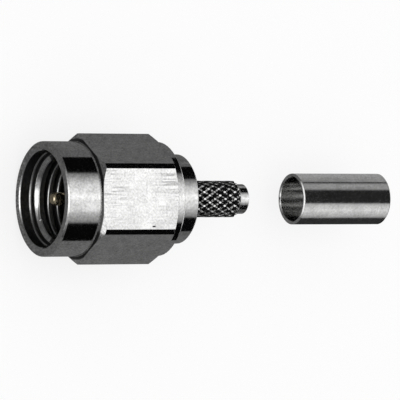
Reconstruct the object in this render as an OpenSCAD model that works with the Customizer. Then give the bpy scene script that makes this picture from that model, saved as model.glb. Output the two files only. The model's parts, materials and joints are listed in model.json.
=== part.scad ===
// Straight coaxial crimp plug for thin cable, with a screw coupling nut.
// The axis is X: the mating mouth looks along -X and the cable leaves along +X.
// The origin is on the axis, at the mating plane where the outer contact ends.

/* [Coupling nut] */
// Distance across the flats of the hexagon
hex_flats = 8; // [7.8:0.1:9]
// Distance across the cut corners of the hexagon
hex_corners = 9; // [8.7:0.05:9.2]
// Length of the hexagon along a flat
hex_len = 6; // [4:0.5:9]
// Diameter of the round collar in front of the hexagon and of the round end behind it
collar_d = 7.9; // [7.7:0.05:7.95]
// Length of the round collar in front of the hexagon
collar_len = 2.55; // [2:0.05:4]
// Length of the short round end behind the hexagon
tail_len = 0.55; // [0.3:0.05:1]
// How far the nut reaches past the mating plane
nut_reach = 3.2; // [3:0.1:3.6]
// Turning angle of the chamfer on the hexagon's corners, from the end face
hex_chamfer_angle = 30; // [20:5:35]
// Width of the relief line between the collar and the hexagon
relief_w = 0.12; // [0.08:0.01:0.2]
// Depth of that relief line below the collar
relief_depth = 0.08; // [0.04:0.01:0.12]
// Small chamfer on the outer edges of the nut
nut_edge = 0.1; // [0.05:0.01:0.2]
// Diameter of the smooth mouth in front of the thread
mouth_d = 6.6; // [6.55:0.05:7.1]
// Depth of the smooth mouth
mouth_depth = 0.75; // [0.6:0.05:1.4]
// Major diameter of the coupling thread, which the plain bore follows
thread_major_d = 6.35; // [6.3:0.01:6.4]

/* [Outer body] */
// Diameter of the outer contact tube
contact_tube_d = 4.58; // [4.5:0.01:4.6]
// Length of the outer contact tube, from the mating plane to the shoulder
contact_tube_len = 2.3; // [2.1:0.05:2.6]
// Bore of the outer contact tube
contact_tube_bore_d = 4.1; // [4:0.02:4.16]
// Diameter of the neck on which the nut turns
neck_d = 5.2; // [5:0.05:5.3]
// Diameter of the flange behind the nut
flange_d = 6.2; // [5.8:0.1:7]
// Thickness of the flange behind the nut
flange_len = 1.5; // [1:0.05:3]
// Small chamfer on the flange's rear edge
flange_edge = 0.1; // [0.05:0.01:0.2]

/* [Crimp post] */
// Diameter over the knurl
post_d = 2.55; // [2.4:0.05:2.7]
// Length of the knurl along the post
knurl_len = 4.35; // [3:0.05:7]
// Ridges of each hand around the knurl
knurl_count = 16; // [12:1:20]
// Angle of the ridges, from the axis
knurl_angle = 32; // [28:1:40]
// Width of the ridges at the top
ridge_w = 0.11; // [0.08:0.01:0.15]
// Depth of the diamonds between the ridges
knurl_depth = 0.12; // [0.06:0.01:0.14]
// Length of the taper behind the knurl
post_taper_len = 0.15; // [0.1:0.05:0.6]
// Diameter of the plain end of the post
post_end_d = 2.08; // [1.95:0.01:2.12]
// Length of the plain end of the post
post_end_len = 0.65; // [0.2:0.05:1]
// Bore of the post, for the cable's dielectric
cable_bore_d = 1.56; // [1.5:0.01:1.62]

/* [Retaining ring] */
// Inner diameter of the ring
ring_in_d = 4.4; // [4.36:0.02:4.6]
// Outer diameter of the ring
ring_out_d = 5.8; // [5.6:0.05:6]
// Thickness of the ring along the axis
ring_w = 0.5; // [0.4:0.05:0.6]
// Width of the split in the ring
ring_split = 1.2; // [0.6:0.1:2]
// Distance from the body's shoulder to the ring groove
ring_setback = 1.6; // [1.2:0.1:2]

/* [Gasket] */
// Wall of the gasket, from its inner to its outer radius
gasket_wall = 0.55; // [0.4:0.05:0.7]
// Thickness of the gasket
gasket_w = 0.65; // [0.4:0.05:0.8]

/* [Insulator] */
// Length of the wide front part of the insulator
insulator_front_len = 3.2; // [2.6:0.1:3.5]
// Diameter of the narrow rear part of the insulator
insulator_rear_d = 3.2; // [3:0.1:3.6]
// Length of the narrow rear part of the insulator
insulator_rear_len = 3.2; // [2.8:0.1:3.6]

/* [Centre contact] */
// Diameter of the pin
pin_d = 0.92; // [0.9:0.01:0.94]
// Reach of the pin past the mating plane
pin_len = 2.5; // [2.3:0.05:2.54]
// Diameter left at the tip of the pin
pin_tip_d = 0.36; // [0.3:0.02:0.5]
// Length of the rounded point of the pin
pin_point_len = 0.4; // [0.3:0.05:0.5]
// Diameter of the contact inside the insulator's front part
contact_d = 1.27; // [1.2:0.01:1.3]
// Diameter of the solder cup at the rear of the contact
cup_d = 1.02; // [1:0.01:1.1]
// Bore of the solder cup, for the cable's inner conductor
cup_bore_d = 0.56; // [0.52:0.01:0.6]
// Depth of the solder cup
cup_depth = 2.2; // [1.5:0.1:2.6]
// Diameter of the inspection hole in the solder cup
cup_hole_d = 0.44; // [0.3:0.02:0.5]
// Distance from the rear of the contact to the inspection hole
cup_hole_setback = 1.4; // [1:0.1:1.8]
// Distance from the mating plane to the barb that holds the contact
barb_setback = 1.2; // [0.9:0.1:1.5]
// Diameter over that barb
barb_d = 1.56; // [1.46:0.02:1.6]
// Length of the barb
barb_len = 0.5; // [0.3:0.05:0.6]

/* [Crimp ferrule] */
// Outer diameter of the ferrule
ferrule_d = 3.6; // [3.4:0.05:4]
// Bore of the ferrule, over the braid
ferrule_bore_d = 3.1; // [2.9:0.05:3.3]
// Length of the ferrule
ferrule_len = 7.2; // [6:0.1:9]
// Small chamfer on the ferrule's edges
ferrule_edge = 0.08; // [0.05:0.01:0.12]
// Gap between the post's end and the ferrule, drawn off
ferrule_gap = 4.05; // [1:0.05:8]

/* [Clearances] */
// Radial clearance between the nut and the neck
nut_clear = 0.05; // [0.03:0.01:0.08]
// Gap along the axis between the nut and the flange
nut_end_gap = 0.05; // [0.03:0.01:0.1]
// Clearance of the retaining ring in its grooves
ring_clear = 0.05; // [0.03:0.01:0.08]
// Radial clearance of the gasket, the insulator and the centre contact in their seats
seat_clear = 0.01; // [0.005:0.005:0.02]

/* [Hidden] */

$fn = 96;
overlap = 0.5;

// Radii of the nut
flat_r = hex_flats / 2;
collar_r = collar_d / 2;
mouth_r = mouth_d / 2;
thread_r = thread_major_d / 2;
thread_relief_d = thread_major_d + 0.15;
thread_relief_len = 0.5;

// Stations of the nut along the axis
nut_front_x = -nut_reach;
hex_front_x = nut_front_x + collar_len;
hex_rear_x = hex_front_x + hex_len;
nut_rear_x = hex_rear_x + tail_len;
mouth_end_x = nut_front_x + mouth_depth;
lead_len = mouth_r - thread_r;
chamfer_slope = tan(hex_chamfer_angle);

// Stations and radii of the body
shoulder_x = contact_tube_len;
neck_r = neck_d / 2;
flange_x = nut_rear_x + nut_end_gap;
flange_rear_x = flange_x + flange_len;
post_r = post_d / 2;
pit_r = post_r - knurl_depth;
knurl_end_x = flange_rear_x + knurl_len;
post_end_r = post_end_d / 2;
post_end_x = knurl_end_x + post_taper_len + post_end_len;
insulator_step_x = insulator_front_len;
insulator_end_x = insulator_front_len + insulator_rear_len;

// How the knurled sleeve is sunk in the flange and bedded on the post under it
knurl_buried = 0.15;
knurl_wall = 0.2;
knurl_bed = 0.03;
knurl_proud = 0.01;

// Nut bores behind the thread
nut_wall_x = shoulder_x + nut_end_gap;
nut_neck_r = neck_r + nut_clear;

// Grooves of the retaining ring
groove_x = shoulder_x + ring_setback;
groove_w = ring_w + 2 * ring_clear;
groove_in_r = ring_in_d / 2 - ring_clear;
groove_out_r = ring_out_d / 2 + ring_clear;

// Gasket, round the contact tube
gasket_in_r = contact_tube_d / 2 + seat_clear;
gasket_out_r = gasket_in_r + gasket_wall;

// Ferrule
ferrule_r = ferrule_d / 2;
ferrule_bore_r = ferrule_bore_d / 2;
ferrule_x = post_end_x + ferrule_gap;

// Turns a half section, given as [x, radius] points, about the X axis.
module turned(section) {
    rotate([90, 0, 90])
        rotate_extrude()
            polygon([for (p = section) [p[1], p[0]]]);
}

// A plain round bar or hole along X.
module bar(x0, x1, r) {
    translate([x0, 0, 0])
        rotate([0, 90, 0])
            cylinder(h = x1 - x0, r = r);
}

// The hexagon with its corners cut, flats up and down.
module hex_bar(x0, x1) {
    translate([x0, 0, 0])
        rotate([90, 0, 90])
            linear_extrude(height = x1 - x0)
                intersection() {
                    circle(d = hex_flats / cos(30), $fn = 6);
                    rotate(30) circle(d = hex_corners / cos(30), $fn = 6);
                }
}

// The turned outline that leaves the 30 degree chamfers on the hexagon.
module nut_blank() {
    corner_r = hex_corners / 2 + overlap;
    chamfer_run = (corner_r - collar_r) * chamfer_slope;
    intersection() {
        hex_bar(hex_front_x, hex_rear_x);
        turned([
            [hex_front_x, 0],
            [hex_front_x, collar_r],
            [hex_front_x + chamfer_run, corner_r],
            [hex_rear_x - chamfer_run, corner_r],
            [hex_rear_x, collar_r],
            [hex_rear_x, 0]
        ]);
    }
    turned([
        [nut_front_x, 0],
        [nut_front_x, collar_r - nut_edge],
        [nut_front_x + nut_edge, collar_r],
        [hex_front_x - relief_w, collar_r],
        [hex_front_x - relief_w, collar_r - relief_depth],
        [hex_front_x, collar_r - relief_depth],
        [hex_front_x, collar_r],
        [hex_front_x + overlap, collar_r],
        [hex_front_x + overlap, 0]
    ]);
    turned([
        [hex_rear_x - overlap, 0],
        [hex_rear_x - overlap, collar_r],
        [nut_rear_x - nut_edge, collar_r],
        [nut_rear_x, collar_r - nut_edge],
        [nut_rear_x, 0]
    ]);
}

module coupling_nut() {
    color("gainsboro")
        difference() {
            nut_blank();
            turned([
                [nut_front_x - overlap, 0],
                [nut_front_x - overlap, mouth_r + nut_edge],
                [nut_front_x, mouth_r + nut_edge],
                [nut_front_x + nut_edge, mouth_r],
                [mouth_end_x, mouth_r],
                [mouth_end_x + lead_len, thread_r],
                [nut_wall_x - thread_relief_len, thread_r],
                [nut_wall_x - thread_relief_len, thread_relief_d / 2],
                [nut_wall_x, thread_relief_d / 2],
                [nut_wall_x, nut_neck_r],
                [groove_x, nut_neck_r],
                [groove_x, groove_out_r],
                [groove_x + groove_w, groove_out_r],
                [groove_x + groove_w, nut_neck_r],
                [nut_rear_x + overlap, nut_neck_r],
                [nut_rear_x + overlap, 0]
            ]);
        }
}

// Crossing raised ridges round the post, with a sunk diamond in each cell.
// Grid points alternate between ridge crossings and the centres of the diamonds.
module knurl() {
    columns = 2 * knurl_count;
    half_turn = 360 / columns;
    cell_half_w = PI * post_r / knurl_count;
    row_goal = cell_half_w / tan(knurl_angle);
    start_x = flange_rear_x - knurl_buried;
    rows = round((knurl_end_x - start_x) / row_goal);
    row_step = (knurl_end_x - start_x) / rows;
    cell_inradius = cell_half_w * row_step / sqrt(cell_half_w ^ 2 + row_step ^ 2);
    inset = 1 - ridge_w / 2 / cell_inradius;
    core_r = pit_r - knurl_wall;
    run_out_x = knurl_end_x + post_taper_len / 2;
    run_out_r = post_end_r + knurl_proud;

    function on_post(x, angle, r) = [x, r * cos(angle), r * sin(angle)];
    function is_crossing(p, j) = (p + j) % 2 == 0;
    function grid(p, j) = j * columns + (p + columns) % columns;
    function rim(p, j, side) =
        (rows + 1) * columns + 4 * (j * knurl_count + floor(p / 2)) + side;
    function cell_column(i, j) = 2 * i + 1 - j % 2;
    edge_count = 4 * knurl_count;
    ring_base = (rows + 1) * (columns + edge_count);
    function ring(kind, k) = ring_base + kind * edge_count + k % edge_count;

    // Sides of a cell: 0 back round the post, 1 towards the flange, 2 on round, 3 towards the end
    grid_points = [
        for (j = [0:rows], p = [0:columns - 1])
            on_post(start_x + j * row_step, p * half_turn, is_crossing(p, j) ? post_r : pit_r)
    ];
    rim_points = [
        for (j = [0:rows], i = [0:knurl_count - 1], side = [0:3])
            let (turn = side == 0 ? -inset : side == 2 ? inset : 0)
            let (slip = side == 1 ? -inset : side == 3 ? inset : 0)
            on_post(
                start_x + (j + slip) * row_step,
                (cell_column(i, j) + turn) * half_turn,
                post_r
            )
    ];
    // Angles of the end rings, which follow the cut cells of the first or the last row
    function ring_angle(j, k) =
        let (i = floor(k / 4), part = k % 4)
        (cell_column(i, j) + [-1, -inset, 0, inset][part]) * half_turn;
    ring_points = [
        for (kind = [0:2], k = [0:edge_count - 1])
            on_post(
                kind == 0 ? start_x : run_out_x,
                ring_angle(kind == 0 ? 0 : rows, k),
                kind == 1 ? run_out_r : core_r
            )
    ];

    // Faces run clockwise when seen from outside
    function front_half(p, j) = [
        [grid(p - 1, j), rim(p, j, 1), grid(p, j - 1)], [grid(p - 1, j), rim(p, j, 0), rim(p, j, 1)],
        [grid(p, j - 1), rim(p, j, 2), grid(p + 1, j)], [grid(p, j - 1), rim(p, j, 1), rim(p, j, 2)],
        [rim(p, j, 0), grid(p, j), rim(p, j, 1)], [rim(p, j, 1), grid(p, j), rim(p, j, 2)]
    ];
    function rear_half(p, j) = [
        [grid(p + 1, j), rim(p, j, 3), grid(p, j + 1)], [grid(p + 1, j), rim(p, j, 2), rim(p, j, 3)],
        [grid(p, j + 1), rim(p, j, 0), grid(p - 1, j)], [grid(p, j + 1), rim(p, j, 3), rim(p, j, 0)],
        [rim(p, j, 2), grid(p, j), rim(p, j, 3)], [rim(p, j, 3), grid(p, j), rim(p, j, 0)]
    ];
    cell_faces = [
        for (j = [0:rows], i = [0:knurl_count - 1])
            let (p = cell_column(i, j))
            each concat(j > 0 ? front_half(p, j) : [], j < rows ? rear_half(p, j) : [])
    ];
    // The edge of the first or the last row, point by point round the post
    function edge(j, k) =
        let (at = k % edge_count)
        let (p = cell_column(floor(at / 4), j), part = at % 4)
        part == 0 ? grid(p - 1, j) : part == 1 ? rim(p, j, 0) : part == 2 ? grid(p, j) : rim(p, j, 2);
    end_faces = [
        for (k = [0:edge_count - 1])
            each [
                [edge(0, k), ring(0, k + 1), ring(0, k)],
                [edge(0, k), edge(0, k + 1), ring(0, k + 1)],
                [edge(rows, k), ring(1, k + 1), edge(rows, k + 1)],
                [edge(rows, k), ring(1, k), ring(1, k + 1)],
                [ring(1, k), ring(2, k + 1), ring(1, k + 1)],
                [ring(1, k), ring(2, k), ring(2, k + 1)]
            ]
    ];
    shift = rows % 2 == 0 ? 0 : 2;
    bore_faces = [
        for (k = [0:edge_count - 1])
            each [
                [ring(0, k), ring(2, k + shift + 1), ring(2, k + shift)],
                [ring(0, k), ring(0, k + 1), ring(2, k + shift + 1)]
            ]
    ];
    polyhedron(
        points = concat(grid_points, rim_points, ring_points),
        faces = concat(cell_faces, end_faces, bore_faces)
    );
}

module outer_body() {
    under_knurl_r = pit_r - knurl_bed;
    tube_r = contact_tube_d / 2;
    color("silver") {
        difference() {
            union() {
                turned([
                    [0, 0],
                    [0, tube_r],
                    [shoulder_x, tube_r],
                    [shoulder_x, neck_r],
                    [groove_x, neck_r],
                    [groove_x, groove_in_r],
                    [groove_x + groove_w, groove_in_r],
                    [groove_x + groove_w, neck_r],
                    [flange_x, neck_r],
                    [flange_x, flange_d / 2],
                    [flange_rear_x - flange_edge, flange_d / 2],
                    [flange_rear_x, flange_d / 2 - flange_edge],
                    [flange_rear_x, under_knurl_r],
                    [knurl_end_x - knurl_bed, under_knurl_r],
                    [knurl_end_x + post_taper_len, post_end_r],
                    [post_end_x, post_end_r],
                    [post_end_x, 0]
                ]);
                knurl();
            }
            bar(-overlap, insulator_step_x, contact_tube_bore_d / 2);
            bar(0, insulator_end_x, insulator_rear_d / 2 + seat_clear);
            bar(0, post_end_x + overlap, cable_bore_d / 2);
        }
    }
}

// A split ring that snaps into the grooves of the body and the nut.
module retaining_ring() {
    ring_x = groove_x + ring_clear;
    color("goldenrod")
        difference() {
            bar(ring_x, ring_x + ring_w, ring_out_d / 2);
            bar(ring_x - overlap, ring_x + ring_w + overlap, ring_in_d / 2);
            translate([ring_x - overlap, -ring_split / 2, 0])
                cube([ring_w + 2 * overlap, ring_split, ring_out_d]);
        }
}

module gasket() {
    color("indianred")
        difference() {
            bar(shoulder_x - gasket_w, shoulder_x, gasket_out_r);
            bar(shoulder_x - gasket_w - overlap, shoulder_x + overlap, gasket_in_r);
        }
}

module insulator() {
    contact_hole_r = contact_d / 2 + seat_clear;
    cup_hole_r = cup_d / 2 + seat_clear;
    color("white")
        difference() {
            union() {
                bar(0, insulator_step_x, contact_tube_bore_d / 2 - seat_clear);
                bar(0, insulator_end_x, insulator_rear_d / 2);
            }
            bar(-overlap, insulator_step_x, contact_hole_r);
            turned([
                [barb_setback - seat_clear, 0],
                [barb_setback - seat_clear, contact_hole_r],
                [barb_setback - seat_clear, barb_d / 2 + seat_clear],
                [barb_setback + barb_len, contact_hole_r],
                [barb_setback + barb_len, 0]
            ]);
            bar(0, insulator_end_x + overlap, cup_hole_r);
        }
}

module centre_contact() {
    cup_end_x = insulator_end_x;
    tip_r = pin_tip_d / 2;

    // The pin's point is a quarter of an ellipse, from its flat tip back to its side
    function on_point(angle) = [
        -pin_len + pin_point_len * (1 - sin(angle)),
        tip_r + (pin_d / 2 - tip_r) * cos(angle)
    ];
    color("gold")
        difference() {
            union() {
                turned([
                    [-pin_len, 0],
                    for (angle = [90:-15:0]) on_point(angle),
                    [0, pin_d / 2],
                    [0, contact_d / 2],
                    [barb_setback, contact_d / 2],
                    [barb_setback, barb_d / 2],
                    [barb_setback + barb_len - seat_clear, contact_d / 2],
                    [insulator_step_x, contact_d / 2],
                    [insulator_step_x, cup_d / 2],
                    [cup_end_x, cup_d / 2],
                    [cup_end_x, 0]
                ]);
            }
            bar(cup_end_x - cup_depth, cup_end_x + overlap, cup_bore_d / 2);
            translate([cup_end_x - cup_hole_setback, 0, 0])
                cylinder(h = cup_d, r = cup_hole_d / 2);
        }
}

module crimp_ferrule() {
    ferrule_end_x = ferrule_x + ferrule_len;
    color("silver")
        turned([
            [ferrule_x, ferrule_bore_r + ferrule_edge],
            [ferrule_x, ferrule_r - ferrule_edge],
            [ferrule_x + ferrule_edge, ferrule_r],
            [ferrule_end_x - ferrule_edge, ferrule_r],
            [ferrule_end_x, ferrule_r - ferrule_edge],
            [ferrule_end_x, ferrule_bore_r + ferrule_edge],
            [ferrule_end_x - ferrule_edge, ferrule_bore_r],
            [ferrule_x + ferrule_edge, ferrule_bore_r]
        ]);
}

coupling_nut();
outer_body();
retaining_ring();
gasket();
insulator();
centre_contact();
crimp_ferrule();
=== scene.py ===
"""Looks of a coaxial crimp plug with its ferrule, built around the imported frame."""

import json
import math

import bmesh
import bpy
from mathutils import Matrix, Vector


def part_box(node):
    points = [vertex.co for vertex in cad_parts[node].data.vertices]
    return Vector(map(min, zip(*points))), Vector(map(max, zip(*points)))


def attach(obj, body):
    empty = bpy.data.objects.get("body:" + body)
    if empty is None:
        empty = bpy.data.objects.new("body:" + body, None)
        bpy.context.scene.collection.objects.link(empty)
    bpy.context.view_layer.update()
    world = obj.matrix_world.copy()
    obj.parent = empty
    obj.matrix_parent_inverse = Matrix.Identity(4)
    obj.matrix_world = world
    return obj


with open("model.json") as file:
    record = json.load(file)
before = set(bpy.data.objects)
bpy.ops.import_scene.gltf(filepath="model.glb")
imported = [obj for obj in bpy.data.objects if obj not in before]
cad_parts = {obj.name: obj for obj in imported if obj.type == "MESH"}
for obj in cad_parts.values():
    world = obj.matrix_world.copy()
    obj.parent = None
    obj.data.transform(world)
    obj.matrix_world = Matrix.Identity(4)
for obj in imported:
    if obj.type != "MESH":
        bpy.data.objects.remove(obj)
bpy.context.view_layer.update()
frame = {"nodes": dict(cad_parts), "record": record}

MM = 0.001

# Main places along the connector's axis, which is X, taken from the frame
NUT_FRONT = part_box("coupling_nut")[0].x
FLOOR_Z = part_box("coupling_nut")[0].z
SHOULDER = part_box("gasket")[1].x
HEX_MIDDLE = next(row["pos_m"][0] for row in frame["record"]["mounts"] if row["name"] == "rest_flat")
POST_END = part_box("outer_body")[1].x
FERRULE_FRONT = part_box("crimp_ferrule")[0].x
FERRULE_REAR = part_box("crimp_ferrule")[1].x

# Nut: a flat's distance from the axis, the hexagon's front end, and the collar and mouth
FLAT_R = -FLOOR_Z
HEX_FRONT = HEX_MIDDLE - 3.0 * MM
COLLAR_R = 3.95 * MM
MOUTH_R = 3.3 * MM

# Knurl on the post: ridges of both hands, the rows in which they cross, and its crest and pits
KNURL_END = POST_END - 0.8 * MM
KNURL_START = KNURL_END - 4.5 * MM
KNURL_ROWS = 11
KNURL_RIDGES = 16
KNURL_R = 1.275 * MM
PIT_R = 1.155 * MM

# Coupling thread, a sixty degree form on the nut's plain bore, its root sunk a little into the wall
THREAD_MAJOR_R = 3.175 * MM
THREAD_MINOR_R = 2.82 * MM
THREAD_ROOT_R = THREAD_MAJOR_R + 0.01 * MM
THREAD_PITCH = 0.7056 * MM
THREAD_FLANK = math.tan(math.radians(30))
THREAD_FRONT = NUT_FRONT + 1.03 * MM
THREAD_REAR = SHOULDER - 0.5 * MM
THREAD_STEPS_PER_TURN = 72
SMOOTH_BELOW = math.radians(12)

BRIGHT_PLATE = (0.97, 0.97, 0.965)
# Near black painted into the knurl's diamonds and flanks as their shade
PIT_SHADE_BLACK = (0.006, 0.006, 0.006)

# Light tent over the connector, in metres, and the black of its flags
TENT_RADIUS = 0.14
TENT_REACH = 0.35
TENT_DARK = 0.002


# ---------------------------------------------------------------- node helpers

def new_material(name):
    """Empty material with a Principled shader, and that shader."""
    mat = bpy.data.materials.new(name)
    mat.use_nodes = True
    nodes = mat.node_tree.nodes
    nodes.clear()
    out = nodes.new("ShaderNodeOutputMaterial")
    shader = nodes.new("ShaderNodeBsdfPrincipled")
    mat.node_tree.links.new(shader.outputs["BSDF"], out.inputs["Surface"])
    return mat, shader


def math_node(tree, operation, a, b=None):
    """One calculation on numbers or other nodes' values."""
    node = tree.nodes.new("ShaderNodeMath")
    node.operation = operation
    for socket, value in zip(node.inputs, (a, b)):
        if value is None:
            continue
        if isinstance(value, (int, float)):
            socket.default_value = value
        else:
            tree.links.new(value, socket)
    return node.outputs[0]


def map_range(tree, value, low, high, to_low, to_high, smooth=False):
    """Value carried from one range to another, and held at its ends."""
    node = tree.nodes.new("ShaderNodeMapRange")
    node.interpolation_type = "SMOOTHSTEP" if smooth else "LINEAR"
    tree.links.new(value, node.inputs["Value"])
    node.inputs["From Min"].default_value = low
    node.inputs["From Max"].default_value = high
    node.inputs["To Min"].default_value = to_low
    node.inputs["To Max"].default_value = to_high
    return node.outputs["Result"]


def levels(tree, value, stops):
    """Steps and slopes between given places: a grey for each (place, level) stop."""
    low, high = stops[0][0], stops[-1][0]
    ramp = tree.nodes.new("ShaderNodeValToRGB")
    elements = ramp.color_ramp.elements
    elements[0].position = 0.0
    elements[1].position = 1.0
    for at, _ in stops[1:-1]:
        elements.new((at - low) / (high - low))
    for element, (_, level) in zip(elements, stops):
        element.color = (level, level, level, 1)
    tree.links.new(map_range(tree, value, low, high, 0.0, 1.0), ramp.inputs["Fac"])
    return ramp.outputs["Color"]


def object_coords(tree, scale=(1, 1, 1)):
    """Object coordinates in millimetres, stretched by scale."""
    coords = tree.nodes.new("ShaderNodeTexCoord")
    mapping = tree.nodes.new("ShaderNodeMapping")
    mapping.inputs["Scale"].default_value = [s / MM for s in scale]
    tree.links.new(coords.outputs["Object"], mapping.inputs["Vector"])
    return mapping.outputs["Vector"]


def new_group(name, inputs, outputs):
    """Node group with (name, type, default) inputs and (name, type) outputs, and its two end nodes."""
    group = bpy.data.node_groups.new(name, "ShaderNodeTree")
    for socket_name, socket_type, default in inputs:
        socket = group.interface.new_socket(socket_name, in_out="INPUT", socket_type=socket_type)
        socket.default_value = default
    for socket_name, socket_type in outputs:
        group.interface.new_socket(socket_name, in_out="OUTPUT", socket_type=socket_type)
    return group, group.nodes.new("NodeGroupInput"), group.nodes.new("NodeGroupOutput")


def place_group(tree, group, **values):
    """The group placed in a tree, with its own values for the inputs named."""
    node = tree.nodes.new("ShaderNodeGroup")
    node.node_tree = group
    for key, value in values.items():
        socket = node.inputs[key.replace("_", " ")]
        if isinstance(value, (int, float)):
            socket.default_value = value
        else:
            tree.links.new(value, socket)
    return node


# ------------------------------------------------------------- shared effects

def make_turned_lines():
    """Fine rings round the axis that a lathe tool leaves."""
    group, inside, out = new_group(
        "turned_lines",
        [("Rings per mm", "NodeSocketFloat", 12.0)],
        [("Height", "NodeSocketFloat")],
    )
    coords = object_coords(group, (1.0, 0.03, 0.03))
    wave = group.nodes.new("ShaderNodeTexNoise")
    wave.inputs["Detail"].default_value = 3.0
    group.links.new(coords, wave.inputs["Vector"])
    group.links.new(inside.outputs["Rings per mm"], wave.inputs["Scale"])
    group.links.new(wave.outputs["Fac"], out.inputs["Height"])
    return group


def make_drawn_lines():
    """Streaks along the axis, left by drawing and milling."""
    group, inside, out = new_group(
        "drawn_lines",
        [("Streaks per mm", "NodeSocketFloat", 6.0)],
        [("Height", "NodeSocketFloat")],
    )
    coords = object_coords(group, (0.06, 1.0, 1.0))
    streak = group.nodes.new("ShaderNodeTexNoise")
    streak.inputs["Detail"].default_value = 2.0
    group.links.new(coords, streak.inputs["Vector"])
    group.links.new(inside.outputs["Streaks per mm"], streak.inputs["Scale"])
    group.links.new(streak.outputs["Fac"], out.inputs["Height"])
    return group


def make_fine_grain():
    """Faint mottling of plated metal: cloudy patches with a finer grain over them."""
    group, inside, out = new_group(
        "fine_grain",
        [("Patch per mm", "NodeSocketFloat", 1.2), ("Grain per mm", "NodeSocketFloat", 9.0)],
        [("Patches", "NodeSocketFloat"), ("Grain", "NodeSocketFloat")],
    )
    coords = object_coords(group)
    for size, result, detail in (("Patch per mm", "Patches", 3.0), ("Grain per mm", "Grain", 2.0)):
        cloud = group.nodes.new("ShaderNodeTexNoise")
        cloud.inputs["Detail"].default_value = detail
        group.links.new(coords, cloud.inputs["Vector"])
        group.links.new(inside.outputs[size], cloud.inputs["Scale"])
        group.links.new(cloud.outputs["Fac"], out.inputs[result])
    return group


def make_axis_radius():
    """Distance from the connector's axis, in millimetres, with the places along and across it."""
    group, _, out = new_group(
        "axis_radius", [],
        [("Radius", "NodeSocketFloat"), ("Along", "NodeSocketFloat"), ("Across", "NodeSocketFloat")],
    )
    split = group.nodes.new("ShaderNodeSeparateXYZ")
    group.links.new(object_coords(group), split.inputs["Vector"])
    y2 = math_node(group, "MULTIPLY", split.outputs["Y"], split.outputs["Y"])
    z2 = math_node(group, "MULTIPLY", split.outputs["Z"], split.outputs["Z"])
    radius = math_node(group, "SQRT", math_node(group, "ADD", y2, z2))
    group.links.new(radius, out.inputs["Radius"])
    group.links.new(split.outputs["X"], out.inputs["Along"])
    group.links.new(split.outputs["Y"], out.inputs["Across"])
    return group


def make_knurl_crossings():
    """How near a place is to the crossing of two knurl ridges, one on it and none in a diamond."""
    group, inside, out = new_group(
        "knurl_crossings",
        [("Start", "NodeSocketFloat", 0.0), ("Row step", "NodeSocketFloat", 1.0),
         ("Ridges", "NodeSocketFloat", 16.0)],
        [("Crossing", "NodeSocketFloat")],
    )
    split = group.nodes.new("ShaderNodeSeparateXYZ")
    group.links.new(object_coords(group), split.inputs["Vector"])
    from_start = math_node(group, "SUBTRACT", split.outputs["X"], inside.outputs["Start"])
    row = math_node(group, "DIVIDE", from_start, inside.outputs["Row step"])
    row = math_node(group, "MULTIPLY", row, math.pi / 2)
    angle = math_node(group, "ARCTAN2", split.outputs["Z"], split.outputs["Y"])
    half_ridges = math_node(group, "MULTIPLY", inside.outputs["Ridges"], 0.5)
    turn = math_node(group, "MULTIPLY", angle, half_ridges)
    hands = []
    for operation in ("ADD", "SUBTRACT"):
        wave = math_node(group, "COSINE", math_node(group, operation, row, turn))
        hands.append(math_node(group, "MULTIPLY", wave, wave))
    group.links.new(math_node(group, "MULTIPLY", *hands), out.inputs["Crossing"])
    return group


TURNED_LINES = make_turned_lines()
DRAWN_LINES = make_drawn_lines()
FINE_GRAIN = make_fine_grain()
AXIS_RADIUS = make_axis_radius()
KNURL_CROSSINGS = make_knurl_crossings()


def soft_edge(tree, radius_mm):
    """Normal with every edge rounded by a small radius."""
    bevel = tree.nodes.new("ShaderNodeBevel")
    bevel.samples = 6
    bevel.inputs["Radius"].default_value = radius_mm * MM
    return bevel.outputs["Normal"]


def bump(tree, height, depth_mm, normal):
    """Normal with a height pattern of the given depth pressed into it."""
    node = tree.nodes.new("ShaderNodeBump")
    node.inputs["Strength"].default_value = 1.0
    node.inputs["Distance"].default_value = depth_mm * MM
    tree.links.new(height, node.inputs["Height"])
    tree.links.new(normal, node.inputs["Normal"])
    return node.outputs["Normal"]


def mix_colour(tree, factor, colour_a, colour_b):
    """Blend of two colours, each given plainly or put out by another node."""
    node = tree.nodes.new("ShaderNodeMix")
    node.data_type = "RGBA"
    tree.links.new(factor, node.inputs["Factor"])
    for socket_name, colour in (("A", colour_a), ("B", colour_b)):
        if isinstance(colour, tuple):
            node.inputs[socket_name].default_value = (*colour, 1)
        else:
            tree.links.new(colour, node.inputs[socket_name])
    return node.outputs["Result"]


def add_scaled(tree, parts):
    """Sum of (value, weight) pairs."""
    total = None
    for value, weight in parts:
        term = math_node(tree, "MULTIPLY", value, weight)
        total = term if total is None else math_node(tree, "ADD", total, term)
    return total


def plate_tone(tree, grain):
    """Cloudy light and dark of a plated surface, mostly from its fine grain."""
    return add_scaled(tree, [(grain.outputs["Patches"], 0.4), (grain.outputs["Grain"], 0.6)])


# ------------------------------------------------------------------ materials

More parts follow.
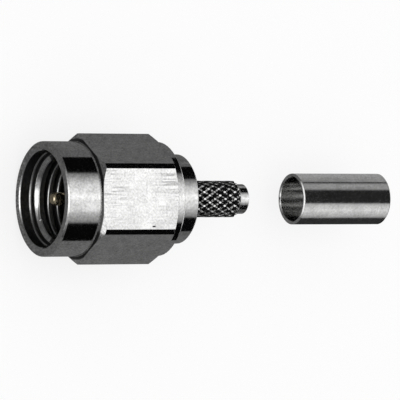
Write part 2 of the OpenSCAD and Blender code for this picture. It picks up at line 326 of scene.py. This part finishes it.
def nut_metal():
    """Bright machined metal: rings on the turned ends, cutter streaks on the flats, with painted shade
    in the bore and in the collar's corner.
    """
    mat, shader = new_material("nut_metal")
    tree = mat.node_tree
    place = place_group(tree, AXIS_RADIUS)
    grain = place_group(tree, FINE_GRAIN, Patch_per_mm=1.4, Grain_per_mm=7.0)
    rings = place_group(tree, TURNED_LINES, Rings_per_mm=14.0).outputs["Height"]
    on_flat = map_range(
        tree, place.outputs["Radius"], COLLAR_R / MM + 0.015, FLAT_R / MM - 0.015, 0.0, 1.0
    )
    streaks = math_node(tree, "MULTIPLY", cutter_streaks(tree, place, grain), on_flat)
    off_flat = math_node(tree, "SUBTRACT", 1.0, on_flat)
    ring_height = math_node(tree, "MULTIPLY", rings, off_flat)
    height = add_scaled(tree, [(ring_height, 0.5), (streaks, -0.8), (grain.outputs["Grain"], 0.6)])

    tone = map_range(tree, plate_tone(tree, grain), 0.35, 0.65, -1.2, 1.3)
    tone = add_scaled(tree, [(tone, 1.0), (streaks, -2.2), (nick_mask(tree), -5.5)])
    tone = map_range(tree, tone, -5.0, 1.0, 0.0, 1.0)
    # Painted shade: the bore darkened as if in shadow, apart from its chamfers and crests
    bright = painted_bore_shade(tree, place)
    tone = math_node(tree, "MULTIPLY", tone, bright)
    # Painted shade in the corner between collar and hexagon
    tone = math_node(tree, "MULTIPLY", tone, corner_shade(tree, place))
    tree.links.new(
        mix_colour(tree, tone, (0.03, 0.03, 0.03), BRIGHT_PLATE), shader.inputs["Base Color"]
    )
    rough = map_range(tree, grain.outputs["Grain"], 0.3, 0.7, 0.07, 0.12)
    rough = math_node(tree, "ADD", rough, map_range(tree, bright, 0.05, 0.5, 0.3, 0.0))
    tree.links.new(rough, shader.inputs["Roughness"])
    shader.inputs["Metallic"].default_value = 1.0
    tree.links.new(bump(tree, height, 0.0010, soft_edge(tree, 0.035)), shader.inputs["Normal"])
    return mat


def cutter_streaks(tree, place, grain):
    """Patchy streaks along the axis, deepest by the hexagon's ends and on the upper flat."""
    streaks = place_group(tree, DRAWN_LINES, Streaks_per_mm=5.0).outputs["Height"]
    deep = map_range(tree, streaks, 0.49, 0.6, 0.0, 1.0, smooth=True)
    past_mid = math_node(tree, "SUBTRACT", place.outputs["Along"], HEX_MIDDLE / MM)
    from_mid = math_node(tree, "ABSOLUTE", past_mid)
    near_ends = map_range(tree, from_mid, 0.5, 2.0, 0.08, 1.0, smooth=True)
    patchy = map_range(tree, grain.outputs["Patches"], 0.38, 0.54, 0.25, 1.0, smooth=True)
    top_flat = levels(tree, place.outputs["Across"], [
        (-4.5, 0.1), (-2.4, 0.1), (-2.3, 0.35), (-0.9, 0.35),
        (0.2, 1.0), (2.3, 1.0), (2.4, 0.1), (4.5, 0.1),
    ])
    for mask in (near_ends, patchy, top_flat):
        deep = math_node(tree, "MULTIPLY", deep, mask)
    return deep


def painted_bore_shade(tree, place):
    """Painted shade in the bore: one outside the bore and on the thread's lead-in chamfer, about half
    on a narrow band in front of it and on the thread crests, so their glints show, and low elsewhere in
    the bore.
    """
    radius = place.outputs["Radius"]
    lead_front = THREAD_FRONT / MM
    outside = map_range(tree, radius, MOUTH_R / MM + 0.01, MOUTH_R / MM + 0.03, 0.0, 1.0)
    crest_r = THREAD_MINOR_R / MM
    crest_edge = levels(tree, radius, [
        (crest_r, 0.05), (crest_r + 0.004, 0.6), (crest_r + 0.06, 0.6), (crest_r + 0.07, 0.05),
    ])
    lead_in = levels(tree, place.outputs["Along"], [
        (lead_front - 0.29, 0.05), (lead_front - 0.28, 0.5), (lead_front - 0.21, 0.5),
        (lead_front - 0.2, 0.05), (lead_front + 0.02, 0.05), (lead_front + 0.03, 1.0),
        (lead_front + 0.22, 1.0), (lead_front + 0.23, 0.05),
    ])
    return math_node(tree, "MAXIMUM", math_node(tree, "MAXIMUM", outside, crest_edge), lead_in)


def corner_shade(tree, place):
    """Painted shade: a dark line in the corner where the turned collar meets the hexagon."""
    hex_front = HEX_FRONT / MM
    collar = COLLAR_R / MM
    off_collar = map_range(tree, place.outputs["Radius"], collar + 0.003, collar + 0.007, 0.0, 1.0)
    line = levels(tree, place.outputs["Along"], [
        (hex_front - 0.03, 0.0), (hex_front - 0.02, 1.0),
        (hex_front + 0.1, 1.0), (hex_front + 0.14, 0.0),
    ])
    return map_range(tree, math_node(tree, "MULTIPLY", off_collar, line), 0.0, 1.0, 1.0, 0.05)


def nick_mask(tree):
    """One small dent near the edge of the upper flat."""
    middle = (HEX_MIDDLE + 1.0 * MM, -1.87 * MM, FLAT_R)
    half_size = (0.13 * MM, 0.055 * MM, 0.1 * MM)
    coords = tree.nodes.new("ShaderNodeTexCoord")
    offset = tree.nodes.new("ShaderNodeVectorMath")
    offset.operation = "SUBTRACT"
    tree.links.new(coords.outputs["Object"], offset.inputs[0])
    offset.inputs[1].default_value = middle
    squash = tree.nodes.new("ShaderNodeVectorMath")
    squash.operation = "MULTIPLY"
    tree.links.new(offset.outputs["Vector"], squash.inputs[0])
    squash.inputs[1].default_value = [1 / size for size in half_size]
    distance = tree.nodes.new("ShaderNodeVectorMath")
    distance.operation = "LENGTH"
    tree.links.new(squash.outputs["Vector"], distance.inputs[0])
    return map_range(tree, distance.outputs["Value"], 0.6, 1.3, 1.0, 0.0, smooth=True)


def body_metal():
    """Bright nickel on the turned body, with painted shade: near black on the knurl, save at ridge
    crossings and random spots on the crests.
    """
    mat, shader = new_material("body_metal")
    tree = mat.node_tree
    place = place_group(tree, AXIS_RADIUS)
    radius = place.outputs["Radius"]
    rings = place_group(tree, TURNED_LINES, Rings_per_mm=11.0).outputs["Height"]
    grain = place_group(tree, FINE_GRAIN, Patch_per_mm=1.6, Grain_per_mm=5.5)
    height = add_scaled(tree, [(rings, 0.5), (grain.outputs["Grain"], 0.6)])
    tone = map_range(tree, plate_tone(tree, grain), 0.35, 0.65, 0.0, 1.0)
    knurl = place_group(
        tree, KNURL_CROSSINGS, Start=KNURL_START / MM, Ridges=KNURL_RIDGES,
        Row_step=(KNURL_END - KNURL_START) / KNURL_ROWS / MM,
    )
    # Painted shade: the knurl is near black except at ridge crossings and random spots on the crests,
    # where the bright plate shows
    crossing = map_range(tree, knurl.outputs["Crossing"], 0.3, 0.8, 0.0, 1.0, smooth=True)
    on_ridge = map_range(tree, radius, KNURL_R / MM - 0.04, KNURL_R / MM - 0.005, 0.0, 1.0)
    ridge_spots = map_range(tree, grain.outputs["Grain"], 0.45, 0.58, 0.0, 0.36, smooth=True)
    crossing_patchiness = map_range(tree, grain.outputs["Patches"], 0.4, 0.6, 0.5, 1.25)
    ridge_spots = math_node(tree, "ADD", ridge_spots, math_node(tree, "MULTIPLY", crossing, crossing_patchiness))
    bright_ridge_spots = math_node(tree, "MULTIPLY", on_ridge, ridge_spots)
    off_knurl = off_knurl_mask(tree, place)
    outside_pit_shade = math_node(tree, "MAXIMUM", bright_ridge_spots, off_knurl)
    plate = mix_colour(tree, tone, (0.58, 0.58, 0.575), BRIGHT_PLATE)
    tree.links.new(mix_colour(tree, outside_pit_shade, PIT_SHADE_BLACK, plate), shader.inputs["Base Color"])

    on_knurl = math_node(tree, "SUBTRACT", 1.0, off_knurl)
    rough = math_node(
        tree, "ADD", map_range(tree, grain.outputs["Grain"], 0.3, 0.7, 0.07, 0.13),
        math_node(tree, "MULTIPLY", on_knurl, 0.12),
    )
    tree.links.new(rough, shader.inputs["Roughness"])
    shader.inputs["Metallic"].default_value = 1.0
    rounded = math_node(tree, "MULTIPLY", crossing, on_knurl)
    fine = bump(tree, height, 0.0010, soft_edge(tree, 0.02))
    tree.links.new(bump(tree, rounded, 0.1, fine), shader.inputs["Normal"])
    return mat


def off_knurl_mask(tree, place):
    """One, keeping the bright plate, on the flange and neck, on the post's plain end and in its bore;
    none on the knurl, which gets the painted pit shade.
    """
    radius = place.outputs["Radius"]
    crest = KNURL_R / MM
    pit = PIT_R / MM
    end = KNURL_END / MM
    off_post = map_range(tree, radius, crest + 0.045, crest + 0.065, 0.0, 1.0)
    plain_end = map_range(tree, place.outputs["Along"], end - 0.01, end + 0.01, 0.0, 1.0)
    in_bore = map_range(tree, radius, pit - 0.055, pit - 0.045, 1.0, 0.0)
    return math_node(tree, "MAXIMUM", math_node(tree, "MAXIMUM", off_post, plain_end), in_bore)


def ferrule_metal():
    """Drawn tube with long streaks and a mottled plate."""
    mat, shader = new_material("ferrule_metal")
    tree = mat.node_tree
    streaks = place_group(tree, DRAWN_LINES, Streaks_per_mm=5.0).outputs["Height"]
    grain = place_group(tree, FINE_GRAIN, Patch_per_mm=1.3, Grain_per_mm=7.0)
    height = add_scaled(tree, [(streaks, 0.5), (grain.outputs["Grain"], 0.8)])
    tone = add_scaled(tree, [
        (grain.outputs["Patches"], 0.4), (grain.outputs["Grain"], 0.4), (streaks, 0.2)
    ])
    tone = map_range(tree, tone, 0.3, 0.7, 0.0, 1.0)
    tree.links.new(
        mix_colour(tree, tone, (0.52, 0.52, 0.515), BRIGHT_PLATE), shader.inputs["Base Color"]
    )
    tree.links.new(
        map_range(tree, grain.outputs["Grain"], 0.3, 0.7, 0.1, 0.18), shader.inputs["Roughness"]
    )
    shader.inputs["Metallic"].default_value = 1.0
    tree.links.new(bump(tree, height, 0.0014, soft_edge(tree, 0.03)), shader.inputs["Normal"])
    return mat


def plain_metal(name, colour_low, colour_high, roughness):
    """Small plated or bare piece with a fine grain."""
    mat, shader = new_material(name)
    tree = mat.node_tree
    rings = place_group(tree, TURNED_LINES, Rings_per_mm=16.0).outputs["Height"]
    grain = place_group(tree, FINE_GRAIN, Patch_per_mm=2.5, Grain_per_mm=14.0)
    tree.links.new(
        mix_colour(tree, grain.outputs["Patches"], colour_low, colour_high), shader.inputs["Base Color"]
    )
    tree.links.new(
        map_range(tree, grain.outputs["Grain"], 0.3, 0.7, roughness, roughness + 0.08),
        shader.inputs["Roughness"],
    )
    shader.inputs["Metallic"].default_value = 1.0
    tree.links.new(bump(tree, rings, 0.0003, soft_edge(tree, 0.02)), shader.inputs["Normal"])
    return mat


def white_insulation():
    """Waxy white fluoroplastic, faintly turned."""
    mat, shader = new_material("white_insulation")
    tree = mat.node_tree
    rings = place_group(tree, TURNED_LINES, Rings_per_mm=9.0).outputs["Height"]
    grain = place_group(tree, FINE_GRAIN, Patch_per_mm=1.5, Grain_per_mm=8.0)
    tree.links.new(
        mix_colour(tree, grain.outputs["Patches"], (0.78, 0.78, 0.76), (0.87, 0.87, 0.85)),
        shader.inputs["Base Color"],
    )
    tree.links.new(
        map_range(tree, grain.outputs["Grain"], 0.3, 0.7, 0.38, 0.5), shader.inputs["Roughness"]
    )
    shader.inputs["Subsurface Weight"].default_value = 0.1
    shader.inputs["Subsurface Radius"].default_value = (0.0006, 0.0006, 0.0005)
    tree.links.new(bump(tree, rings, 0.0015, soft_edge(tree, 0.03)), shader.inputs["Normal"])
    return mat


def seal_rubber():
    """Matt silicone with a fine moulded grain."""
    mat, shader = new_material("seal_rubber")
    tree = mat.node_tree
    grain = place_group(tree, FINE_GRAIN, Patch_per_mm=2.0, Grain_per_mm=16.0)
    tree.links.new(
        mix_colour(tree, grain.outputs["Patches"], (0.36, 0.10, 0.08), (0.46, 0.15, 0.11)),
        shader.inputs["Base Color"],
    )
    tree.links.new(
        map_range(tree, grain.outputs["Grain"], 0.3, 0.7, 0.5, 0.65), shader.inputs["Roughness"]
    )
    tree.links.new(
        bump(tree, grain.outputs["Grain"], 0.004, soft_edge(tree, 0.06)), shader.inputs["Normal"]
    )
    return mat


MATERIALS = {
    "nut_metal": nut_metal(),
    "body_metal": body_metal(),
    "ferrule_metal": ferrule_metal(),
    "ring_metal": plain_metal("ring_metal", (0.55, 0.38, 0.22), (0.72, 0.54, 0.34), 0.25),
    "gold_plate": plain_metal("gold_plate", (0.80, 0.67, 0.44), (0.93, 0.81, 0.60), 0.05),
    "white_insulation": white_insulation(),
    "seal_rubber": seal_rubber(),
}


def dress_cad_nodes():
    """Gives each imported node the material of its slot."""
    for row in frame["record"]["subparts"]:
        node = frame["nodes"][row["node"]]
        node.data.materials.clear()
        node.data.materials.append(MATERIALS[row["material_slot"]])


# ------------------------------------------------------------------ new pieces

def placed_mesh(name, bm, material):
    """Object at the origin made from a finished bmesh."""
    mesh = bpy.data.meshes.new(name)
    bm.to_mesh(mesh)
    bm.free()
    mesh.materials.append(material)
    placed = bpy.data.objects.new(name, mesh)
    bpy.context.scene.collection.objects.link(placed)
    return placed


def thread_piece(name, bm):
    """Piece of the coupling thread, which turns with the nut and has its finish."""
    bmesh.ops.recalc_face_normals(bm, faces=bm.faces)
    piece = placed_mesh(name, bm, MATERIALS["nut_metal"])
    piece.data.shade_smooth()
    piece.data.set_sharp_from_angle(angle=SMOOTH_BELOW)
    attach(piece, "nut")


def spun_section(bm, corners, angle, steps, advance=0.0, start=0.0):
    """Turns one closed section, given as (x, radius) corners, round the axis."""
    section = bm.faces.new([bm.verts.new((x, 0, r)) for x, r in corners])
    bmesh.ops.rotate(
        bm, verts=section.verts[:], cent=(0, 0, 0), matrix=Matrix.Rotation(start, 3, "X")
    )
    bmesh.ops.spin(
        bm, geom=[section], cent=(0, 0, 0), axis=(1, 0, 0), dvec=(advance / steps, 0, 0),
        angle=angle, steps=steps, use_merge=False,
    )


def coupling_thread():
    """Helical ridge inside the nut: one tooth of the thread, spun along the axis."""
    crest_half = 0.125 * THREAD_PITCH
    root_half = crest_half + (THREAD_ROOT_R - THREAD_MINOR_R) * THREAD_FLANK
    worn = 0.055 * MM
    start = THREAD_FRONT + root_half
    turns = (THREAD_REAR - THREAD_FRONT - 2 * root_half) / THREAD_PITCH
    corners = [
        (start - root_half, THREAD_ROOT_R),
        (start - crest_half - worn * THREAD_FLANK, THREAD_MINOR_R + worn),
        (start - crest_half + worn * (1 - THREAD_FLANK), THREAD_MINOR_R),
        (start + crest_half, THREAD_MINOR_R),
        (start + root_half, THREAD_ROOT_R),
    ]
    bm = bmesh.new()
    spun_section(
        bm, corners, angle=turns * math.tau, steps=round(turns * THREAD_STEPS_PER_TURN),
        advance=turns * THREAD_PITCH, start=math.radians(150),
    )
    thread_piece("coupling_thread", bm)


def thread_lead_in():
    """Chamfered land where the thread starts, open where its groove runs out to the mouth."""
    front = THREAD_FRONT + 0.03 * MM
    chamfer = THREAD_MAJOR_R - THREAD_MINOR_R - 0.1 * MM
    land_end = front + chamfer + 0.34 * MM
    opening = math.radians(50)
    corners = [
        (front - 0.06 * MM, THREAD_ROOT_R),
        (front, THREAD_MINOR_R + chamfer),
        (front + chamfer, THREAD_MINOR_R),
        (land_end, THREAD_MINOR_R),
        (land_end + 0.2 * MM, THREAD_ROOT_R),
    ]
    bm = bmesh.new()
    spun_section(
        bm, corners, angle=math.tau - opening, steps=THREAD_STEPS_PER_TURN, start=opening / 2
    )
    thread_piece("thread_lead_in", bm)


# ------------------------------------------------------------- studio and view

def glowing_stage(name, bm, set_glow):
    """Stage object that only shows in reflections; set_glow gives its emission a strength."""
    mat = bpy.data.materials.new(name)
    mat.use_nodes = True
    tree = mat.node_tree
    tree.nodes.clear()
    out = tree.nodes.new("ShaderNodeOutputMaterial")
    glow = tree.nodes.new("ShaderNodeEmission")
    tree.links.new(glow.outputs["Emission"], out.inputs["Surface"])
    set_glow(tree, glow)
    stage = placed_mesh(name, bm, mat)
    stage.visible_camera = False
    stage.visible_diffuse = False
    stage.visible_transmission = False
    stage.visible_shadow = False
    stage.visible_volume_scatter = False


def around_axis(tree):
    """Angle round the axis from straight up, in degrees, and the place along it, in metres."""
    split = tree.nodes.new("ShaderNodeSeparateXYZ")
    coords = tree.nodes.new("ShaderNodeTexCoord")
    tree.links.new(coords.outputs["Object"], split.inputs["Vector"])
    angle = math_node(tree, "ARCTAN2", split.outputs["Y"], split.outputs["Z"])
    return math_node(tree, "MULTIPLY", angle, math.degrees(1)), split.outputs["X"]


def half_tube(radius, front, rear, half_angle):
    """Sheet bent round the axis, open below."""
    bm = bmesh.new()
    side = (-radius * math.sin(half_angle), radius * math.cos(half_angle))
    ends = [bm.verts.new((x, *side)) for x in (front, rear)]
    edge = bm.edges.new(ends)
    bmesh.ops.spin(
        bm, geom=[*ends, edge], cent=(0, 0, 0), axis=(1, 0, 0), angle=-2 * half_angle, steps=96
    )
    return bm


def light_tent():
    """Canopy along the plug: bright overhead, black flags at the sides, a window in front."""
    bm = half_tube(TENT_RADIUS, -TENT_REACH, TENT_REACH, math.radians(100))
    for x in (-TENT_REACH, TENT_REACH):
        cap = bmesh.ops.create_circle(bm, cap_ends=True, segments=96, radius=TENT_RADIUS)["verts"]
        bmesh.ops.rotate(bm, verts=cap, cent=(0, 0, 0), matrix=Matrix.Rotation(math.pi / 2, 3, "Y"))
        bmesh.ops.translate(bm, vec=(x, 0, 0), verts=cap)

    def glow_levels(tree, glow):
        angle, along = around_axis(tree)
        roof = levels(tree, angle, [
            (-50, TENT_DARK), (-46, 0.21), (-42, 0.3), (-34, 0.39), (-28, 0.54), (-23, 0.78),
            (-16, 0.86), (-3, 0.93), (0, 1.08), (3, 1.16), (8, 1.12), (12, 0.91), (22, 0.83),
            (30, 0.71), (38, 0.49), (44, 0.32), (50, 0.21), (54, TENT_DARK),
        ])
        over_plug = levels(tree, along, [(-0.04, 0), (0.01, 1), (0.2, 1), (0.24, 0)])
        window = levels(tree, angle, [
            (-100, 0.08), (-75, 0.12), (-45, 0.5), (-25, 1.5),
            (25, 1.5), (45, 0.5), (75, 0.12), (100, 0.08),
        ])
        in_front = levels(tree, along, [(-TENT_REACH, 0), (-0.33, 1), (-0.14, 1), (-0.11, 0)])
        between = levels(tree, along, [(-0.11, 0), (-0.09, 0.2), (-0.03, 0.2), (0.0, 0)])
        overhead = math_node(tree, "MULTIPLY", roof, over_plug)
        ahead = math_node(tree, "MULTIPLY", window, in_front)
        total = math_node(tree, "ADD", math_node(tree, "ADD", overhead, ahead), between)
        tree.links.new(total, glow.inputs["Strength"])

    glowing_stage("light_tent", bm, glow_levels)


def ferrule_cards():
    """Narrow cards over the ferrule that give it long bands of light and dark."""
    bm = half_tube(12 * MM, FERRULE_REAR - 3.5 * MM, FERRULE_REAR + 12 * MM, math.radians(105))

    def glow_levels(tree, glow):
        angle, _ = around_axis(tree)
        bands = levels(tree, angle, [
            (-105, 0.03), (-92, 0.03), (-86, 0.36), (-66, 0.64), (-48, 0.82), (-30, 0.66),
            (-21, 0.46), (-16, 0.02), (36, 0.02), (42, 0.3), (56, 0.36), (69, 0.3), (72, 0.02),
            (76, 0.02), (80, 0.3), (105, 0.34),
        ])
        tree.links.new(bands, glow.inputs["Strength"])

    glowing_stage("ferrule_cards", bm, glow_levels)


def knurl_card():
    """Narrow bright card over the knurled post."""
    bm = half_tube(5 * MM, KNURL_START + 2 * MM, KNURL_END + 2.3 * MM, math.radians(105))

    def glow_levels(tree, glow):
        angle, _ = around_axis(tree)
        arch = levels(tree, angle, [
            (-105, 0.02), (-80, 0.3), (-50, 1.2), (50, 1.2), (80, 0.3), (105, 0.02),
        ])
        tree.links.new(arch, glow.inputs["Strength"])

    glowing_stage("knurl_card", bm, glow_levels)


def low_card():
    """Small white card in front of the mouth and to one side, sloping down away from the axis."""
    bm = bmesh.new()
    bmesh.ops.create_grid(bm, x_segments=1, y_segments=1, size=0.5)
    bmesh.ops.rotate(bm, verts=bm.verts, cent=(0, 0, 0), matrix=Matrix.Rotation(math.pi / 2, 3, "Y"))
    bmesh.ops.scale(bm, vec=(1, 18 * MM, 5 * MM), verts=bm.verts)
    slope = Matrix.Rotation(math.radians(25), 3, "X")
    bmesh.ops.rotate(bm, verts=bm.verts, cent=(0, 0, 0), matrix=slope)
    bmesh.ops.translate(bm, vec=(NUT_FRONT - 27 * MM, -10.5 * MM, 0.3 * MM), verts=bm.verts)

    def plain(tree, glow):
        glow.inputs["Strength"].default_value = 1.1

    glowing_stage("low_card", bm, plain)


def grey_table_mat():
    """Grey mat below the tent that only the metal sees, half black and half pale by the ferrule."""
    bm = bmesh.new()
    bmesh.ops.create_grid(bm, x_segments=1, y_segments=1, size=1)
    bmesh.ops.scale(bm, vec=(1.04 * TENT_REACH, TENT_RADIUS, 1), verts=bm.verts)
    bmesh.ops.translate(bm, vec=(0, 0, FLOOR_Z - 0.01 * MM), verts=bm.verts)

    def greys(tree, glow):
        split = tree.nodes.new("ShaderNodeSeparateXYZ")
        coords = tree.nodes.new("ShaderNodeTexCoord")
        tree.links.new(coords.outputs["Object"], split.inputs["Vector"])
        by_plug = levels(tree, split.outputs["Y"], [(-6 * MM, 0.14), (6 * MM, 0.125)])
        by_ferrule = levels(tree, split.outputs["Y"], [
            (-24 * MM, 0.14), (-22 * MM, 0.03), (-2 * MM, 0.03),
            (2 * MM, 0.36), (22 * MM, 0.36), (24 * MM, 0.125),
        ])
        along = map_range(
            tree, split.outputs["X"], FERRULE_FRONT + 1.5 * MM, FERRULE_FRONT + 2 * MM, 0.0, 1.0
        )
        near = math_node(tree, "MULTIPLY", by_plug, math_node(tree, "SUBTRACT", 1.0, along))
        far = math_node(tree, "MULTIPLY", by_ferrule, along)
        felt = tree.nodes.new("ShaderNodeTexNoise")
        felt.inputs["Scale"].default_value = 5.5 / MM
        felt.inputs["Detail"].default_value = 1.0
        tree.links.new(coords.outputs["Object"], felt.inputs["Vector"])
        felt = map_range(tree, felt.outputs["Fac"], 0.3, 0.7, 0.45, 1.55)
        in_front = map_range(tree, split.outputs["X"], -4 * MM, -3 * MM, 0.8, 1.0)
        total = math_node(tree, "MULTIPLY", math_node(tree, "ADD", near, far), felt)
        total = math_node(tree, "MULTIPLY", total, in_front)
        tree.links.new(total, glow.inputs["Strength"])

    glowing_stage("grey_table_mat", bm, greys)


def seen_straight(tree):
    """One for what the camera, a reflection or clear glass shows, none for the light on things."""
    path = tree.nodes.new("ShaderNodeLightPath")
    seen = math_node(tree, "MAXIMUM", path.outputs["Is Camera Ray"], path.outputs["Is Glossy Ray"])
    return math_node(tree, "MAXIMUM", seen, path.outputs["Is Transmission Ray"])


def pale_floor():
    """Round floor that looks nearly white and keeps the connector's soft shadow."""
    bm = bmesh.new()
    bmesh.ops.create_circle(bm, cap_ends=True, segments=96, radius=1.2)
    bmesh.ops.translate(bm, vec=(0, 0, FLOOR_Z - 0.03 * MM), verts=bm.verts)
    mat, shader = new_material("pale_floor")
    shader.inputs["Base Color"].default_value = (0.9, 0.9, 0.9, 1)
    shader.inputs["Roughness"].default_value = 0.9
    shader.inputs["Specular IOR Level"].default_value = 0.0
    tree = mat.node_tree
    shown = tree.nodes.new("ShaderNodeEmission")
    shown.inputs["Color"].default_value = (0.98, 0.98, 0.98, 1)
    mix = tree.nodes.new("ShaderNodeMixShader")
    tree.links.new(math_node(tree, "MULTIPLY", seen_straight(tree), 0.8), mix.inputs["Fac"])
    tree.links.new(shader.outputs["BSDF"], mix.inputs[1])
    tree.links.new(shown.outputs["Emission"], mix.inputs[2])
    tree.links.new(mix.outputs["Shader"], tree.nodes["Material Output"].inputs["Surface"])
    floor = placed_mesh("pale_floor", bm, mat)


def white_background(tree, strength):
    """World background of plain white light."""
    node = tree.nodes.new("ShaderNodeBackground")
    node.inputs["Color"].default_value = (1, 1, 1, 1)
    node.inputs["Strength"].default_value = strength
    return node.outputs["Background"]


def soft_world():
    """White to the camera and in reflections, plain soft light for the rest."""
    world = bpy.data.worlds.new("soft_world")
    world.use_nodes = True
    bpy.context.scene.world = world
    tree = world.node_tree
    tree.nodes.clear()
    out = tree.nodes.new("ShaderNodeOutputWorld")
    mix = tree.nodes.new("ShaderNodeMixShader")
    tree.links.new(seen_straight(tree), mix.inputs["Fac"])
    tree.links.new(white_background(tree, 0.9), mix.inputs[1])
    tree.links.new(white_background(tree, 1.0), mix.inputs[2])
    tree.links.new(mix.outputs["Shader"], out.inputs["Surface"])


def overhead_lamp():
    """Large soft lamp straight above."""
    data = bpy.data.lights.new("overhead_lamp", "AREA")
    data.shape = "SQUARE"
    data.size = 0.3
    data.energy = 0.3
    lamp = bpy.data.objects.new("overhead_lamp", data)
    lamp.location = (0.01, 0, 0.35)
    lamp.visible_glossy = False
    lamp.visible_camera = False
    bpy.context.scene.collection.objects.link(lamp)


def camera():
    """Looks down on the connector, thirty degrees towards its mouth, with the axis level."""
    tilt = math.radians(29.85)
    distance = 0.3
    target = Vector((9.25 * MM, -0.07 * MM, 0))
    width_seen = 27.8435 * MM
    data = bpy.data.cameras.new("camera")
    data.sensor_width = 36
    data.lens = data.sensor_width * distance / width_seen
    data.clip_start = 0.01
    data.clip_end = 10
    cam = bpy.data.objects.new("camera", data)
    right = Vector((math.cos(tilt), 0, math.sin(tilt)))
    up = Vector((0, 1, 0))
    back = right.cross(up)
    turn = Matrix((right, up, back)).transposed()
    cam.matrix_world = Matrix.Translation(target + back * distance) @ turn.to_4x4()
    bpy.context.scene.collection.objects.link(cam)
    bpy.context.scene.camera = cam


camera()
dress_cad_nodes()
coupling_thread()
thread_lead_in()
light_tent()
ferrule_cards()
knurl_card()
low_card()
grey_table_mat()
pale_floor()
soft_world()
overhead_lamp()
bpy.context.scene.view_settings.view_transform = "Standard"


def corners(box):
    return [list(corner) for corner in box]
